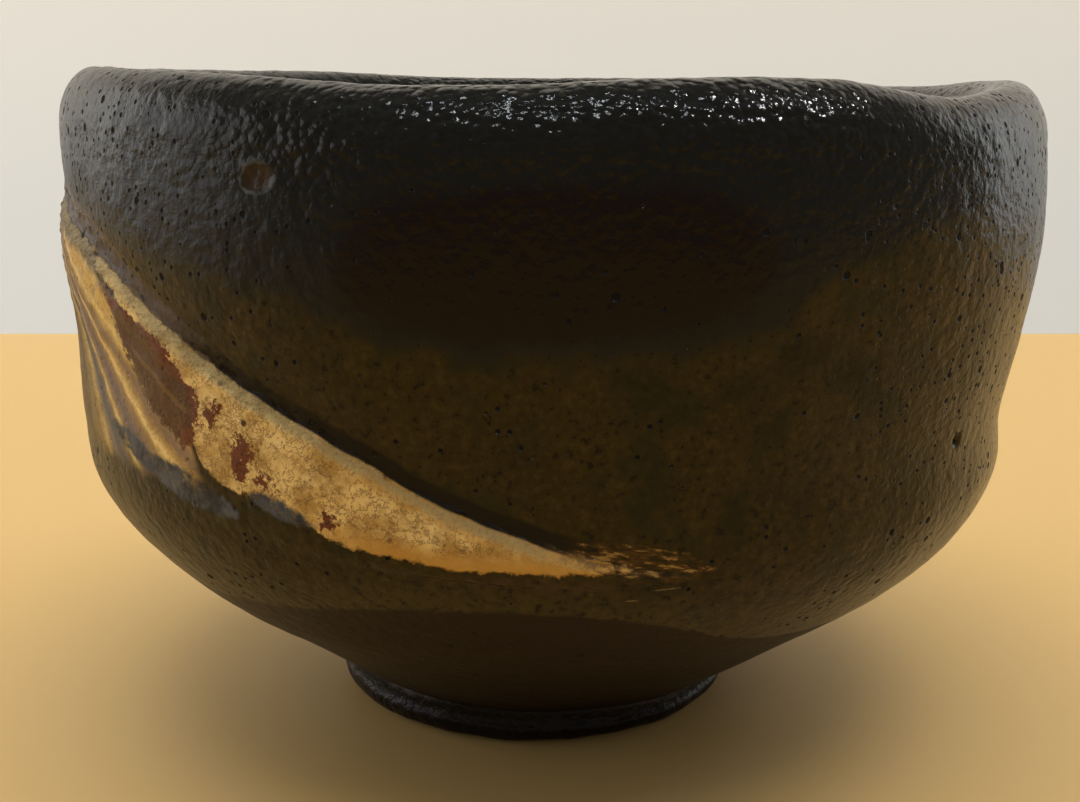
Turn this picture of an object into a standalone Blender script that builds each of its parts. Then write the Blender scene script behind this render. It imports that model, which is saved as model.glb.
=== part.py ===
"""A hand-formed black tea bowl: thick lip, slanting cream facet cut across its wall, small foot ring.

Metres, +Z up. The origin is on the table under the middle of the bowl. Directions round the bowl are in degrees,
counter-clockwise from +X seen from above, so the facet faces -Y. Every coat of glaze is a closed sheet of its own,
and touching pieces keep a narrow gap.
"""

import math

import bmesh
import bpy
import numpy as np

GAP = 0.0003
GLAZE_THICKNESS = 0.0009

# The wall's outside: height, then the radius on the left (-X), at the front (-Y), on the right and at the back.
WALL_OUTLINE = (
    (0.0040, 0.0267, 0.0255, 0.0242, 0.0255),
    (0.0140, 0.0391, 0.0388, 0.0383, 0.0386),
    (0.0220, 0.0496, 0.0494, 0.0488, 0.0490),
    (0.0280, 0.0551, 0.0549, 0.0542, 0.0546),
    (0.0340, 0.0584, 0.0577, 0.0568, 0.0576),
    (0.0400, 0.0591, 0.0581, 0.0568, 0.0581),
    (0.0500, 0.0592, 0.0587, 0.0585, 0.0588),
    (0.0620, 0.0600, 0.0597, 0.0600, 0.0597),
    (0.0740, 0.0593, 0.0592, 0.0594, 0.0592),
)

# Heights round the bowl, as (direction, height).
RIM_HEIGHTS = (
    (0.0, 0.0787),
    (22.0, 0.0780),
    (60.0, 0.0791),
    (100.0, 0.0793),
    (150.0, 0.0805),
    (195.0, 0.0803),
    (225.0, 0.0801),
    (240.0, 0.0794),
    (252.0, 0.0785),
    (266.0, 0.0783),
    (276.0, 0.0788),
    (297.0, 0.0791),
    (314.0, 0.0774),
    (335.0, 0.0785),
)
SLASH_HEIGHTS = (
    (0.0, 0.0440),
    (60.0, 0.0520),
    (110.0, 0.0595),
    (150.0, 0.0650),
    (175.0, 0.0678),
    (202.0, 0.0669),
    (219.0, 0.0625),
    (232.0, 0.0560),
    (246.0, 0.0482),
    (260.0, 0.0404),
    (274.0, 0.0353),
    (287.0, 0.0340),
    (320.0, 0.0370),
)
FACET_FOOT_HEIGHTS = (
    (0.0, 0.0360),
    (60.0, 0.0415),
    (110.0, 0.0500),
    (150.0, 0.0600),
    (168.0, 0.0654),
    (180.0, 0.0600),
    (190.0, 0.0510),
    (200.0, 0.0425),
    (211.0, 0.0375),
    (235.0, 0.0350),
    (250.0, 0.0336),
    (270.0, 0.0325),
    (287.0, 0.0330),
    (320.0, 0.0335),
)

# The lip: half an ellipse outside its crown and a flatter half inside.
LIP_HALF_WIDTH = 0.0043
LIP_OUTER_DROP = 0.0068
LIP_INNER_DROP = 0.0050

# The inside below the lip, as (radius, height), down to the pool in the floor.
INSIDE_OUTLINE = (
    (0.0530, 0.0655),
    (0.0534, 0.0550),
    (0.0522, 0.0430),
    (0.0486, 0.0320),
    (0.0410, 0.0230),
    (0.0295, 0.0166),
    (0.0160, 0.0136),
    (0.0030, 0.0129),
)

TROUGH_DEPTH = 0.0009
TROUGH_WIDTH = 0.0040
CREST_HEIGHT = 0.0016
CREST_FADE = 0.0060

COLUMNS = 64
FACET_FIRST_COLUMN = 30
FACET_LAST_COLUMN = 51
ROWS_BELOW_FACET = 6
ROWS_ON_FACET = 4
ROWS_ABOVE_SLASH = 5
ROWS_ON_LIP = 7

# The ring sits off the bowl's middle, and the joint on top of it slopes down towards +X.
FOOT_CENTRE_X = -0.0023
FOOT_HEIGHT = 0.0052
JOINT_SLOPE = -0.036
FOOT_OUTER_RADIUS = 0.0260
FOOT_INNER_RADIUS = 0.0196
FOOT_EDGE = 0.0006
FOOT_GLAZE_BOTTOM = 0.0010
FOOT_GROOVE_HEIGHT = 0.0030
FOOT_GROOVE_DEPTH = 0.0003
UNDERSIDE_RADIUS = 0.0248

SHARP_ANGLE = math.radians(40)


def clear_scene():
    for item in list(bpy.data.objects):
        bpy.data.objects.remove(item)


def smooth_curve(at, points):
    """A smooth curve through (x, y) points in rising x, read at the x values given."""
    x, y = np.array(points, float).T
    slope = np.gradient(y, x)
    cell = np.clip(np.searchsorted(x, at, side="right") - 1, 0, len(x) - 2)
    width = x[cell + 1] - x[cell]
    t = (at - x[cell]) / width
    start = (1 + 2 * t) * (1 - t) ** 2 * y[cell] + t * (1 - t) ** 2 * width * slope[cell]
    end = t * t * (3 - 2 * t) * y[cell + 1] - t * t * (1 - t) * width * slope[cell + 1]
    return start + end


def round_curve(angles, points):
    """A smooth curve that closes on itself round the bowl, read at angles in radians."""
    before = [(degrees - 360.0, value) for degrees, value in points]
    after = [(degrees + 360.0, value) for degrees, value in points]
    return smooth_curve(np.degrees(angles) % 360.0, before + list(points) + after)


def wall_radius(angles, heights):
    """The glazed wall's radius, with the spatula's trough pressed into it along the slash."""
    outline = np.array(WALL_OUTLINE)
    left, front, right, back = (
        smooth_curve(heights, outline[:, (0, side)]) for side in range(1, 5)
    )
    radius = (left + front + right + back) / 4
    radius = radius + (right - left) / 2 * np.cos(angles) + (back - front) / 2 * np.sin(angles)
    radius = radius + (left + right - front - back) / 4 * np.cos(2 * angles)
    from_slash = (heights - round_curve(angles, SLASH_HEIGHTS)) / TROUGH_WIDTH
    return radius - TROUGH_DEPTH * slash_strength(angles) * np.exp(-(from_slash**2))


def slash_strength(angles):
    """How deeply the spatula cuts: nothing beyond the facet's ends, full over most of its length."""
    step = 2 * math.pi / COLUMNS
    along = (angles / step - FACET_FIRST_COLUMN) / (FACET_LAST_COLUMN - FACET_FIRST_COLUMN)
    return np.sqrt(np.clip(np.sin(math.pi * np.clip(along, 0, 1)), 0, 1))


def placed(angles, radii, heights):
    return np.stack([radii * np.cos(angles), radii * np.sin(angles), heights], axis=-1)


def joint_heights(from_foot_centre):
    """How high the foot ring's sloping top is at distances along X from its middle."""
    return FOOT_HEIGHT + JOINT_SLOPE * from_foot_centre


def rows_between(low, high, count):
    """Heights from low up to high, leaving out low itself."""
    shares = np.arange(1, count + 1)[:, None] / count
    return low + (high - low) * shares


def outside_rows(angles):
    """Rings up the wall. One follows the facet's lower edge and one follows the slash."""
    base = joint_heights(FOOT_OUTER_RADIUS * np.cos(angles)) + 2 * GAP
    facet_foot = round_curve(angles, FACET_FOOT_HEIGHTS)
    slash = round_curve(angles, SLASH_HEIGHTS)
    shoulder = round_curve(angles, RIM_HEIGHTS) - LIP_OUTER_DROP
    heights = np.concatenate(
        [
            base[None],
            rows_between(base, facet_foot, ROWS_BELOW_FACET),
            rows_between(facet_foot, slash, ROWS_ON_FACET),
            rows_between(slash, shoulder, ROWS_ABOVE_SLASH),
        ]
    )
    return placed(angles, wall_radius(angles, heights), heights)


def lip_rows(angles):
    """Rings over the lip, from just above the shoulder to its inner edge."""
    turns = math.pi * np.arange(1, ROWS_ON_LIP + 1)[:, None] / ROWS_ON_LIP
    rim = round_curve(angles, RIM_HEIGHTS)
    drop = np.where(turns < math.pi / 2, LIP_OUTER_DROP, LIP_INNER_DROP)
    crown_radius = wall_radius(angles, rim - LIP_OUTER_DROP) - LIP_HALF_WIDTH
    return placed(
        angles,
        crown_radius + LIP_HALF_WIDTH * np.cos(turns),
        rim - drop * (1 - np.sin(turns)),
    )


def inside_rows(angles):
    """Level rings down the inside to the last small one round the pool's middle."""
    rings = np.array(INSIDE_OUTLINE)
    shape = (len(rings), len(angles))
    radii = np.broadcast_to(rings[:, :1], shape)
    heights = np.broadcast_to(rings[:, 1:], shape)
    return placed(angles, radii, heights)


def inset(grid, depth, goes_round=True):
    """The grid moved below its own surface by depth."""
    along_rows = np.gradient(grid, axis=0)
    if goes_round:
        along_columns = np.roll(grid, -1, axis=1) - np.roll(grid, 1, axis=1)
    else:
        along_columns = np.gradient(grid, axis=1)
    normals = np.cross(along_columns, along_rows)
    normals /= np.linalg.norm(normals, axis=-1, keepdims=True)
    return grid - depth * normals


def halves(low_left, low_right, high_right, high_left):
    """The two triangles of a square, always split the same way so that neighbouring sheets stay parallel."""
    return (low_left, low_right, high_right), (low_left, high_right, high_left)


def closed_sheet(name, front, back, cells, capped=False):
    """A sheet with a front and a back made of the squares marked in cells, and walls round every border.

    The squares in the last column join the last points to the first. A capped sheet is closed at its last ring.
    """
    mesh = bmesh.new()
    front_points = [[mesh.verts.new(point) for point in row] for row in front]
    back_points = [[mesh.verts.new(point) for point in row] for row in back]
    behind = {}
    for front_row, back_row in zip(front_points, back_points):
        behind.update(zip(front_row, back_row))
    columns = len(front_points[0])
    for row, column in zip(*np.nonzero(cells)):
        following = (column + 1) % columns
        square = (
            front_points[row][column],
            front_points[row][following],
            front_points[row + 1][following],
            front_points[row + 1][column],
        )
        for corners in halves(*square):
            mesh.faces.new(corners)
            mesh.faces.new([behind[corner] for corner in reversed(corners)])
    if capped:
        mesh.faces.new(front_points[-1])
        mesh.faces.new(reversed(back_points[-1]))
    borders = [edge for edge in mesh.edges if edge.is_boundary and edge.verts[0] in behind]
    for edge in borders:
        start = edge.link_loops[0].vert
        end = edge.other_vert(start)
        mesh.faces.new((end, start, behind[start], behind[end]))
    bmesh.ops.delete(mesh, geom=[vert for vert in mesh.verts if not vert.link_faces], context="VERTS")
    return finished_object(name, mesh)


def finished_object(name, mesh):
    data = bpy.data.meshes.new(name)
    mesh.to_mesh(data)
    mesh.free()
    data.shade_smooth()
    data.set_sharp_from_angle(angle=SHARP_ANGLE)
    item = bpy.data.objects.new(name, data)
    bpy.context.scene.collection.objects.link(item)
    return item


def material(name, colour, roughness, coat=0.0):
    made = bpy.data.materials.new(name)
    made.use_nodes = True
    shader = made.node_tree.nodes["Principled BSDF"]
    shader.inputs["Base Color"].default_value = (*colour, 1.0)
    shader.inputs["Roughness"].default_value = roughness
    shader.inputs["Metallic"].default_value = 0.0
    shader.inputs["Coat Weight"].default_value = coat
    made.diffuse_color = (*colour, 1.0)
    return made


def build_clay_body(surface):
    """The clay under every coat of glaze, closed by its underside and the pool's floor."""
    mesh = bmesh.new()
    clay = inset(surface, GLAZE_THICKNESS + GAP)
    angles = column_angles()
    radii = np.full_like(angles, UNDERSIDE_RADIUS)
    underside = placed(angles, radii, joint_heights(radii * np.cos(angles)) + GAP)
    underside[:, 0] += FOOT_CENTRE_X
    rings = [[mesh.verts.new(point) for point in ring] for ring in (underside, *clay)]
    for lower, upper in zip(rings, rings[1:]):
        for column in range(COLUMNS):
            following = (column + 1) % COLUMNS
            for corners in halves(lower[column], lower[following], upper[following], upper[column]):
                mesh.faces.new(corners)
    mesh.faces.new(reversed(rings[0]))
    mesh.faces.new(rings[-1])
    body = finished_object("clay_body", mesh)
    body.data.materials.append(material("clay_body", (0.115, 0.078, 0.052), 0.85))


def build_outer_glaze(surface, lip_end_row):
    """The black coat outside and over the lip, with a window for the facet."""
    front = surface[: lip_end_row + 1]
    back = inset(surface, GLAZE_THICKNESS)[: lip_end_row + 1]
    cells = np.ones((lip_end_row, COLUMNS), bool)
    facet_rows = slice(ROWS_BELOW_FACET, ROWS_BELOW_FACET + ROWS_ON_FACET)
    cells[facet_rows, FACET_FIRST_COLUMN:FACET_LAST_COLUMN] = False
    coat = closed_sheet("outer_glaze", front, back, cells)
    coat.data.materials.append(material("outer_glaze", (0.020, 0.017, 0.013), 0.30, 0.3))


def build_inner_glaze(surface, lip_end_row):
    """The glossy black coat inside, from just below the lip to the pool."""
    front = surface[lip_end_row:].copy()
    back = inset(surface, GLAZE_THICKNESS)[lip_end_row:]
    for sheet in (front, back):
        downward = sheet[1] - sheet[0]
        sheet[0] += GAP * downward / np.linalg.norm(downward, axis=-1, keepdims=True)
    cells = np.ones((len(front) - 1, COLUMNS), bool)
    coat = closed_sheet("inner_glaze", front, back, cells, capped=True)
    coat.data.materials.append(material("inner_glaze", (0.007, 0.007, 0.008), 0.10, 0.6))


def build_cream_glaze():
    """The facet: a leaf-shaped panel whose upper edge stands proud along the slash."""
    angles = column_angles()[FACET_FIRST_COLUMN : FACET_LAST_COLUMN + 1].copy()
    angles[0] += GAP / WALL_OUTLINE[-2][1]
    angles[-1] -= GAP / WALL_OUTLINE[-2][1]
    slash = round_curve(angles, SLASH_HEIGHTS) - GAP
    facet_foot = round_curve(angles, FACET_FOOT_HEIGHTS) + GAP
    heights = np.concatenate([facet_foot[None], rows_between(facet_foot, slash, ROWS_ON_FACET)])
    radii = wall_radius(angles, heights)
    crest = CREST_HEIGHT * slash_strength(angles) * np.exp((heights - slash) / CREST_FADE)
    front = placed(angles, radii + crest, heights)
    back = inset(placed(angles, radii, heights), GLAZE_THICKNESS, goes_round=False)
    cells = np.ones((ROWS_ON_FACET, len(angles)), bool)
    cells[:, -1] = False
    panel = closed_sheet("cream_glaze", front, back, cells)
    panel.data.materials.append(material("cream_glaze", (0.46, 0.29, 0.11), 0.45))


def turned(name, outline):
    """A ring turned from a closed outline of (radius, height) points, with its top leaning along the joint."""
    mesh = bmesh.new()
    points = [mesh.verts.new((radius, 0.0, height)) for radius, height in outline]
    edges = [mesh.edges.new(pair) for pair in zip(points, points[1:] + points[:1])]
    bmesh.ops.spin(
        mesh,
        geom=points + edges,
        cent=(0.0, 0.0, 0.0),
        axis=(0.0, 0.0, 1.0),
        angle=2 * math.pi,
        steps=COLUMNS,
        use_merge=True,
    )
    bmesh.ops.recalc_face_normals(mesh, faces=mesh.faces)
    for vert in mesh.verts:
        vert.co.z += JOINT_SLOPE * vert.co.x * vert.co.z / FOOT_HEIGHT
    bmesh.ops.translate(mesh, verts=mesh.verts, vec=(FOOT_CENTRE_X, 0.0, 0.0))
    return finished_object(name, mesh)


def build_foot_ring():
    """The clay ring, with small worn edges and a flat face to stand on."""
    outer = FOOT_OUTER_RADIUS - GLAZE_THICKNESS - GAP
    ring = turned(
        "foot_ring",
        (
            (FOOT_INNER_RADIUS + FOOT_EDGE, 0.0),
            (FOOT_INNER_RADIUS, FOOT_EDGE),
            (FOOT_INNER_RADIUS + FOOT_EDGE, FOOT_HEIGHT),
            (outer, FOOT_HEIGHT),
            (outer, FOOT_EDGE),
            (outer - FOOT_EDGE, 0.0),
        ),
    )
    ring.data.materials.append(material("foot_ring", (0.060, 0.045, 0.036), 0.75))


def build_foot_glaze():
    """The dark coat round the ring. It stops short of the table and has one shallow turned groove."""
    inner = FOOT_OUTER_RADIUS - GLAZE_THICKNESS
    groove = FOOT_OUTER_RADIUS - FOOT_GROOVE_DEPTH
    coat = turned(
        "foot_glaze",
        (
            (inner, FOOT_GLAZE_BOTTOM),
            (inner, FOOT_HEIGHT),
            (FOOT_OUTER_RADIUS, FOOT_HEIGHT),
            (FOOT_OUTER_RADIUS, FOOT_GROOVE_HEIGHT + FOOT_EDGE),
            (groove, FOOT_GROOVE_HEIGHT),
            (FOOT_OUTER_RADIUS, FOOT_GROOVE_HEIGHT - FOOT_EDGE),
            (FOOT_OUTER_RADIUS, FOOT_GLAZE_BOTTOM + FOOT_EDGE),
            (groove, FOOT_GLAZE_BOTTOM),
        ),
    )
    coat.data.materials.append(material("foot_glaze", (0.018, 0.018, 0.020), 0.35))


def column_angles():
    return np.arange(COLUMNS) * 2 * math.pi / COLUMNS


def build():
    clear_scene()
    angles = column_angles()
    outside = outside_rows(angles)
    lip = lip_rows(angles)
    surface = np.concatenate([outside, lip, inside_rows(angles)])
    lip_end_row = len(outside) + len(lip) - 1
    build_clay_body(surface)
    build_outer_glaze(surface, lip_end_row)
    build_inner_glaze(surface, lip_end_row)
    build_cream_glaze()
    build_foot_ring()
    build_foot_glaze()


build()
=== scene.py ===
"""The finished look of the hand-formed black tea bowl, on a plain pale floor in soft light."""

import itertools
import math

import bpy
import numpy as np
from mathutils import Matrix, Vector


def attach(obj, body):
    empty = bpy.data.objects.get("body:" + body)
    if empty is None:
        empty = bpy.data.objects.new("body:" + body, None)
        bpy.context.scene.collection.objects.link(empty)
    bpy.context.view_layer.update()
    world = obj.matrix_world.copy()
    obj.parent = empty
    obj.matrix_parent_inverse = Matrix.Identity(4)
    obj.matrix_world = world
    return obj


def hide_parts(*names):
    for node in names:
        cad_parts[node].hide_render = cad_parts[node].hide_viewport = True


MM = 0.001

# The bowl's shape, with the part's driving sizes. Angles are in degrees from +X: the front is at 270.
GLAZE_THICKNESS = 0.0009
# Height, then the wall's radius at the left, front, right and back.
WALL_OUTLINE = (
    (0.0040, 0.0267, 0.0255, 0.0242, 0.0255),
    (0.0140, 0.0391, 0.0388, 0.0383, 0.0386),
    (0.0220, 0.0496, 0.0494, 0.0488, 0.0490),
    (0.0280, 0.0551, 0.0549, 0.0542, 0.0546),
    (0.0340, 0.0584, 0.0577, 0.0568, 0.0576),
    (0.0400, 0.0591, 0.0581, 0.0568, 0.0581),
    (0.0500, 0.0592, 0.0587, 0.0585, 0.0588),
    (0.0620, 0.0600, 0.0597, 0.0600, 0.0597),
    (0.0740, 0.0593, 0.0592, 0.0594, 0.0592),
)
# Degrees round the bowl, and height.
RIM_HEIGHTS = (
    (0, 0.0787), (22, 0.0780), (60, 0.0791), (100, 0.0793), (150, 0.0805), (195, 0.0803),
    (225, 0.0801), (240, 0.0794), (252, 0.0785), (266, 0.0783), (276, 0.0788), (297, 0.0791),
    (314, 0.0774), (335, 0.0785),
)
SLASH_HEIGHTS = (
    (0, 0.0440), (60, 0.0520), (110, 0.0595), (150, 0.0650), (175, 0.0678), (202, 0.0669),
    (219, 0.0625), (232, 0.0560), (246, 0.0482), (260, 0.0404), (274, 0.0353), (287, 0.0340),
    (320, 0.0370),
)
FACET_FOOT_HEIGHTS = (
    (0, 0.0360), (60, 0.0415), (110, 0.0500), (150, 0.0600), (168, 0.0654), (180, 0.0600),
    (190, 0.0510), (200, 0.0425), (211, 0.0375), (235, 0.0350), (250, 0.0336), (270, 0.0325),
    (287, 0.0330), (320, 0.0335),
)
LIP_HALF_WIDTH = 0.0043
LIP_OUTER_DROP = 0.0068
LIP_INNER_DROP = 0.0050
# The hollow's radius and height, from under the lip to the middle of the pool.
INSIDE_OUTLINE = (
    (0.0530, 0.0655), (0.0534, 0.0550), (0.0522, 0.0430), (0.0486, 0.0320), (0.0410, 0.0230),
    (0.0295, 0.0166), (0.0160, 0.0136), (0.0006, 0.0129),
)
# How far the crest begins below the slash.
CREST_DROPS = (
    (168, 0.0004), (190, 0.0016), (205, 0.0021), (220, 0.0024), (235, 0.0023), (242, 0.0017),
    (250, 0.0007), (260, 0.0002), (287, 0.0000),
)
TROUGH_OFFSET = 0.0009
TROUGH_DEPTH = 0.0009
TROUGH_WIDTH = 0.0040
CREST_HEIGHT = 0.0013
CREST_RISE = 0.0011
CREST_FADE = 0.0080
FACET_START = 168.75
FACET_END = 286.875
LEFT_FADE_END = 207.0
FACET_BLEND_ROWS = 8
FOOT_CENTRE_X = -0.0023
FOOT_HEIGHT = 0.0052
JOINT_SLOPE = -0.036
FOOT_OUTER_RADIUS = 0.0260
FOOT_INNER_RADIUS = 0.0196
FOOT_GLAZE_THICKNESS = 0.7 * MM
WALL_BASE_GAP = 0.2 * MM
# Step, radius and height.
FOOT_GLAZE_OUTLINE = (
    (0, 0.0246, 0.0003),
    (1, 0.0257, 0.0009),
    (2, 0.0262, 0.0022),
    (3, 0.0258, 0.0032),
    (4, 0.0257, 0.0044),
    (5, 0.0252, 0.0053),
)
# The ring's section is a rounded box: 1 would make it an ellipse, and 0 a sharp box.
RING_ROUNDNESS = 0.4
RING_POINTS = 48
# How far the ring's outer face stands inside the foot's, under the glaze.
RING_NARROWING = 1.2 * MM

# The scar at the upper left and the pit at the right.
SCAR_ANGLE = math.radians(243.1)
SCAR_ARC = -27.3
SCAR_HEIGHT = 0.0703
SCAR_WALL_RADIUS = 0.0595
SCAR_RADIUS = 1.95 * MM
SCAR_SQUASH = 1.35
SCAR_DEPTH = 0.22 * MM
SCAR_RIM_HEIGHT = 0.16 * MM
SCAR_RIM_WIDTH = 0.35 * MM
PIT_ANGLE = math.radians(318.0)
PIT_HEIGHT = 0.0419
PIT_WALL_RADIUS = 0.0573
PIT_RADIUS = 1.0 * MM
PIT_DEPTH = 0.7 * MM

# How finely the shapes are drawn. A sheet's hidden back has one point for every BACK_STEP of its front.
BACK_STEP = 12
WALL_COLUMNS = 64 * BACK_STEP
ROWS_BELOW_FACET = 7 * BACK_STEP
ROWS_ON_FACET = 5 * BACK_STEP
ROWS_ABOVE_SLASH = 7 * BACK_STEP
ROWS_ON_LIP = 4 * BACK_STEP
INSIDE_COLUMNS = 32 * BACK_STEP
INSIDE_ROWS = 12 * BACK_STEP
FOOT_COLUMNS = 32 * BACK_STEP
FOOT_ROWS = 2 * BACK_STEP

SHARP_ANGLE = math.radians(60)

# Places round the wall are measured at this radius.
WALL_RADIUS_MM = 58.5
# What a field holds where nothing of it is near, and the depth below the slash where there is no slash.
OUTSIDE = -9.0
NO_SLASH = -20.0
# Where the cream ends at its tip, and how fast it narrows towards it.
TIP_ARC = 8.0
TIP_TAPER = 0.17
# Where the fan's streaks start from, and how low and how far right they reach.
FAN_ARC = -72.0
FAN_HEIGHT = 66.0
FAN_LOWEST = 38.5
FAN_RIGHT_END = -36.0
# The cream's lower edge: millimetres round the wall from the bowl's front, rising to the right, and height.
CREAM_LOWER_EDGE = (
    (-75.0, 68.0), (-66.0, 66.0), (-58.0, 62.5), (-50.0, 57.5), (-43.0, 52.5), (-39.5, 48.0), (-37.0, 42.0),
    (-34.5, 40.3), (-30.0, 39.4), (-20.0, 36.2), (-12.0, 34.8), (-4.0, 34.3), (20.0, 34.3),
)
# Where the black glaze at the rim runs out over the olive, which is partly a painted reflection of the warm
# floor: degrees round the bowl, and height.
BLACK_LOWER_EDGE = (
    (0, 0.0620), (30, 0.0575), (62, 0.0630), (95, 0.0595), (130, 0.0655), (165, 0.0610),
    (211, 0.0645), (231, 0.0625), (248, 0.0585), (256, 0.0563), (285, 0.0560), (291, 0.0575),
    (296, 0.0625), (303, 0.0650), (329, 0.0650),
)
# Brush strokes: start and end as (place round the wall, height), and half the width at the widest.
SLATE_STROKES = (
    ((-47.0, 41.0), (-32.6, 37.5), 2.0),
    ((-31.4, 40.2), (-23.2, 37.6), 1.1),
    ((-54.0, 43.5), (-43.0, 39.5), 1.5),
)
TAIL_STROKE = ((0.0, 36.4), (15.5, 33.9), 2.0)
DASHES = (
    ((6.6, 31.1), (8.6, 30.8), 0.13),
    ((9.3, 30.7), (11.2, 30.5), 0.10),
    ((-7.0, 30.9), (-5.0, 30.8), 0.08),
    ((3.0, 31.9), (5.4, 31.6), 0.08),
    ((9.0, 32.0), (12.5, 32.2), 0.10),
)
SMEAR_STROKE = ((-12.0, 33.4), (9.0, 32.6), 1.6)
# Where the wall turns under; below it the colour is painted darker and browner, as painted shade from the
# shadowed floor the wall faces.
TURNING_LINE = (
    (0, 0.0240), (45, 0.0255), (90, 0.0268), (135, 0.0250), (180, 0.0270), (211, 0.0245),
    (242, 0.0269), (252, 0.0285), (263, 0.0293), (273, 0.0291), (280, 0.0277), (291, 0.0235),
    (319, 0.0200),
)
# The rust wedge's two sides: height against millimetres round the wall.
RUST_RIGHT = (
    (41.0, -39.0), (43.0, -38.6), (45.5, -37.0), (48.7, -36.6), (51.4, -39.6), (54.0, -42.0), (57.0, -49.5),
    (60.0, -54.0),
)
RUST_LEFT = (
    (41.0, -39.2), (43.0, -39.5), (46.0, -44.0), (51.3, -48.6), (57.0, -51.6), (60.0, -53.0),
)
RUST_LOWEST = 42.0
# Rust spots: place round the wall, height, half width and half height.
RUST_SPOTS = (
    (-31.3, 43.6, 1.7, 2.1),
    (-29.2, 41.5, 1.2, 1.0),
    (-27.6, 41.0, 0.7, 0.5),
    (-21.7, 38.2, 0.9, 0.8),
    (-35.2, 46.8, 0.7, 1.5),
    (-34.3, 48.2, 0.5, 0.9),
)


# ---------------- curves and noise


def smooth_curve(at, points):
    """A smooth curve through (x, y) points in rising x, read at the x values given."""
    x, y = np.array(points, float).T
    slope = np.gradient(y, x)
    cell = np.clip(np.searchsorted(x, at, side="right") - 1, 0, len(x) - 2)
    width = x[cell + 1] - x[cell]
    t = (at - x[cell]) / width
    start = (1 + 2 * t) * (1 - t) ** 2 * y[cell] + t * (1 - t) ** 2 * width * slope[cell]
    end = t * t * (3 - 2 * t) * y[cell + 1] - t * t * (1 - t) * width * slope[cell + 1]
    return start + end


def round_curve(angles, points):
    """A smooth curve that closes on itself round the bowl, read at angles in radians."""
    before = [(degrees - 360.0, value) for degrees, value in points]
    after = [(degrees + 360.0, value) for degrees, value in points]
    return smooth_curve(np.degrees(angles) % 360.0, before + list(points) + after)


def smoothstep(low, high, value):
    share = np.clip((value - low) / (high - low), 0, 1)
    return share * share * (3 - 2 * share)


def noise(points, size, seed):
    """Smooth noise from about -1 to 1, with lumps of the size given, in metres."""
    rng = np.random.default_rng(seed)
    directions = rng.normal(size=(256, 3))
    directions /= np.linalg.norm(directions, axis=1, keepdims=True)
    shuffled = rng.permutation(256)
    scaled = points / size
    cell = np.floor(scaled).astype(np.int64)
    part = scaled - cell
    fade = part**3 * (part * (part * 6 - 15) + 10)
    total = np.zeros(points.shape[:-1])
    for corner in itertools.product((0, 1), repeat=3):
        x, y, z = np.moveaxis((cell + corner) & 255, -1, 0)
        slope = directions[shuffled[(shuffled[(shuffled[x] + y) & 255] + z) & 255]]
        weight = np.prod(np.where(corner, fade, 1 - fade), axis=-1)
        total += weight * np.sum(slope * (part - corner), axis=-1)
    return 1.6 * total


# ---------------- the bowl's surface


def slash_strength(angles):
    """How deeply the spatula cuts: nothing beyond the facet's ends, and slow to deepen at its left."""
    degrees = np.degrees(angles) % 360.0
    along = np.clip((degrees - FACET_START) / (FACET_END - FACET_START), 0, 1)
    return np.sqrt(np.clip(np.sin(math.pi * along), 0, 1)) * smoothstep(FACET_START, LEFT_FADE_END, degrees)


def slash_height(angles):
    """The slash's line, with the small waves of a hand-held spatula."""
    on_line = placed(angles, np.full_like(angles, 0.06), np.zeros_like(angles))
    waves = 0.25 * MM * noise(on_line, 5 * MM, 11) + 0.12 * MM * noise(on_line, 1.6 * MM, 12)
    return round_curve(angles, SLASH_HEIGHTS) + waves * slash_strength(angles)


def crest_strength(angles):
    """How proud the crest stands: it sinks back into the wall towards the facet's left end."""
    return slash_strength(angles) * (0.30 + 0.70 * smoothstep(188, 218, np.degrees(angles) % 360.0))


def crest_line(angles):
    """The line where the proud crest begins, a little under the slash's upper edge at the left."""
    return slash_height(angles) - edge_at(np.degrees(angles) % 360.0, CREST_DROPS)


def edge_at(values, points):
    """A curve read at values, level beyond its ends."""
    return smooth_curve(np.clip(values, points[0][0], points[-1][0]), points)


def wall_radius(angles, heights):
    """The glazed wall's radius, with the spatula's trough pressed into it along the slash."""
    outline = np.array(WALL_OUTLINE)
    left, front, right, back = (smooth_curve(heights, outline[:, (0, side)]) for side in range(1, 5))
    radius = (left + front + right + back) / 4
    radius = radius + (right - left) / 2 * np.cos(angles) + (back - front) / 2 * np.sin(angles)
    radius = radius + (left + right - front - back) / 4 * np.cos(2 * angles)
    from_slash = (heights - crest_line(angles) - TROUGH_OFFSET) / TROUGH_WIDTH
    return radius - TROUGH_DEPTH * slash_strength(angles) * np.exp(-(from_slash**2))


def placed(angles, radii, heights):
    return np.stack([radii * np.cos(angles), radii * np.sin(angles), heights], axis=-1)


def rows_between(low, high, count):
    """Heights from low up to high, leaving out low itself."""
    shares = np.arange(1, count + 1)[:, None] / count
    return low + (high - low) * shares


def joint_heights(from_foot_centre):
    """How high the foot ring's sloping top is at distances along X from its middle."""
    return FOOT_HEIGHT + JOINT_SLOPE * from_foot_centre


def outside_rows(angles):
    base = joint_heights(FOOT_OUTER_RADIUS * np.cos(angles)) + WALL_BASE_GAP
    facet_foot = round_curve(angles, FACET_FOOT_HEIGHTS)
    slash = slash_height(angles)
    shoulder = round_curve(angles, RIM_HEIGHTS) - LIP_OUTER_DROP
    heights = np.concatenate(
        [
            base[None],
            rows_between(base, facet_foot, ROWS_BELOW_FACET),
            rows_between(facet_foot, slash, ROWS_ON_FACET),
            rows_between(slash, shoulder, ROWS_ABOVE_SLASH),
        ]
    )
    return placed(angles, wall_radius(angles, heights), heights)


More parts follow.
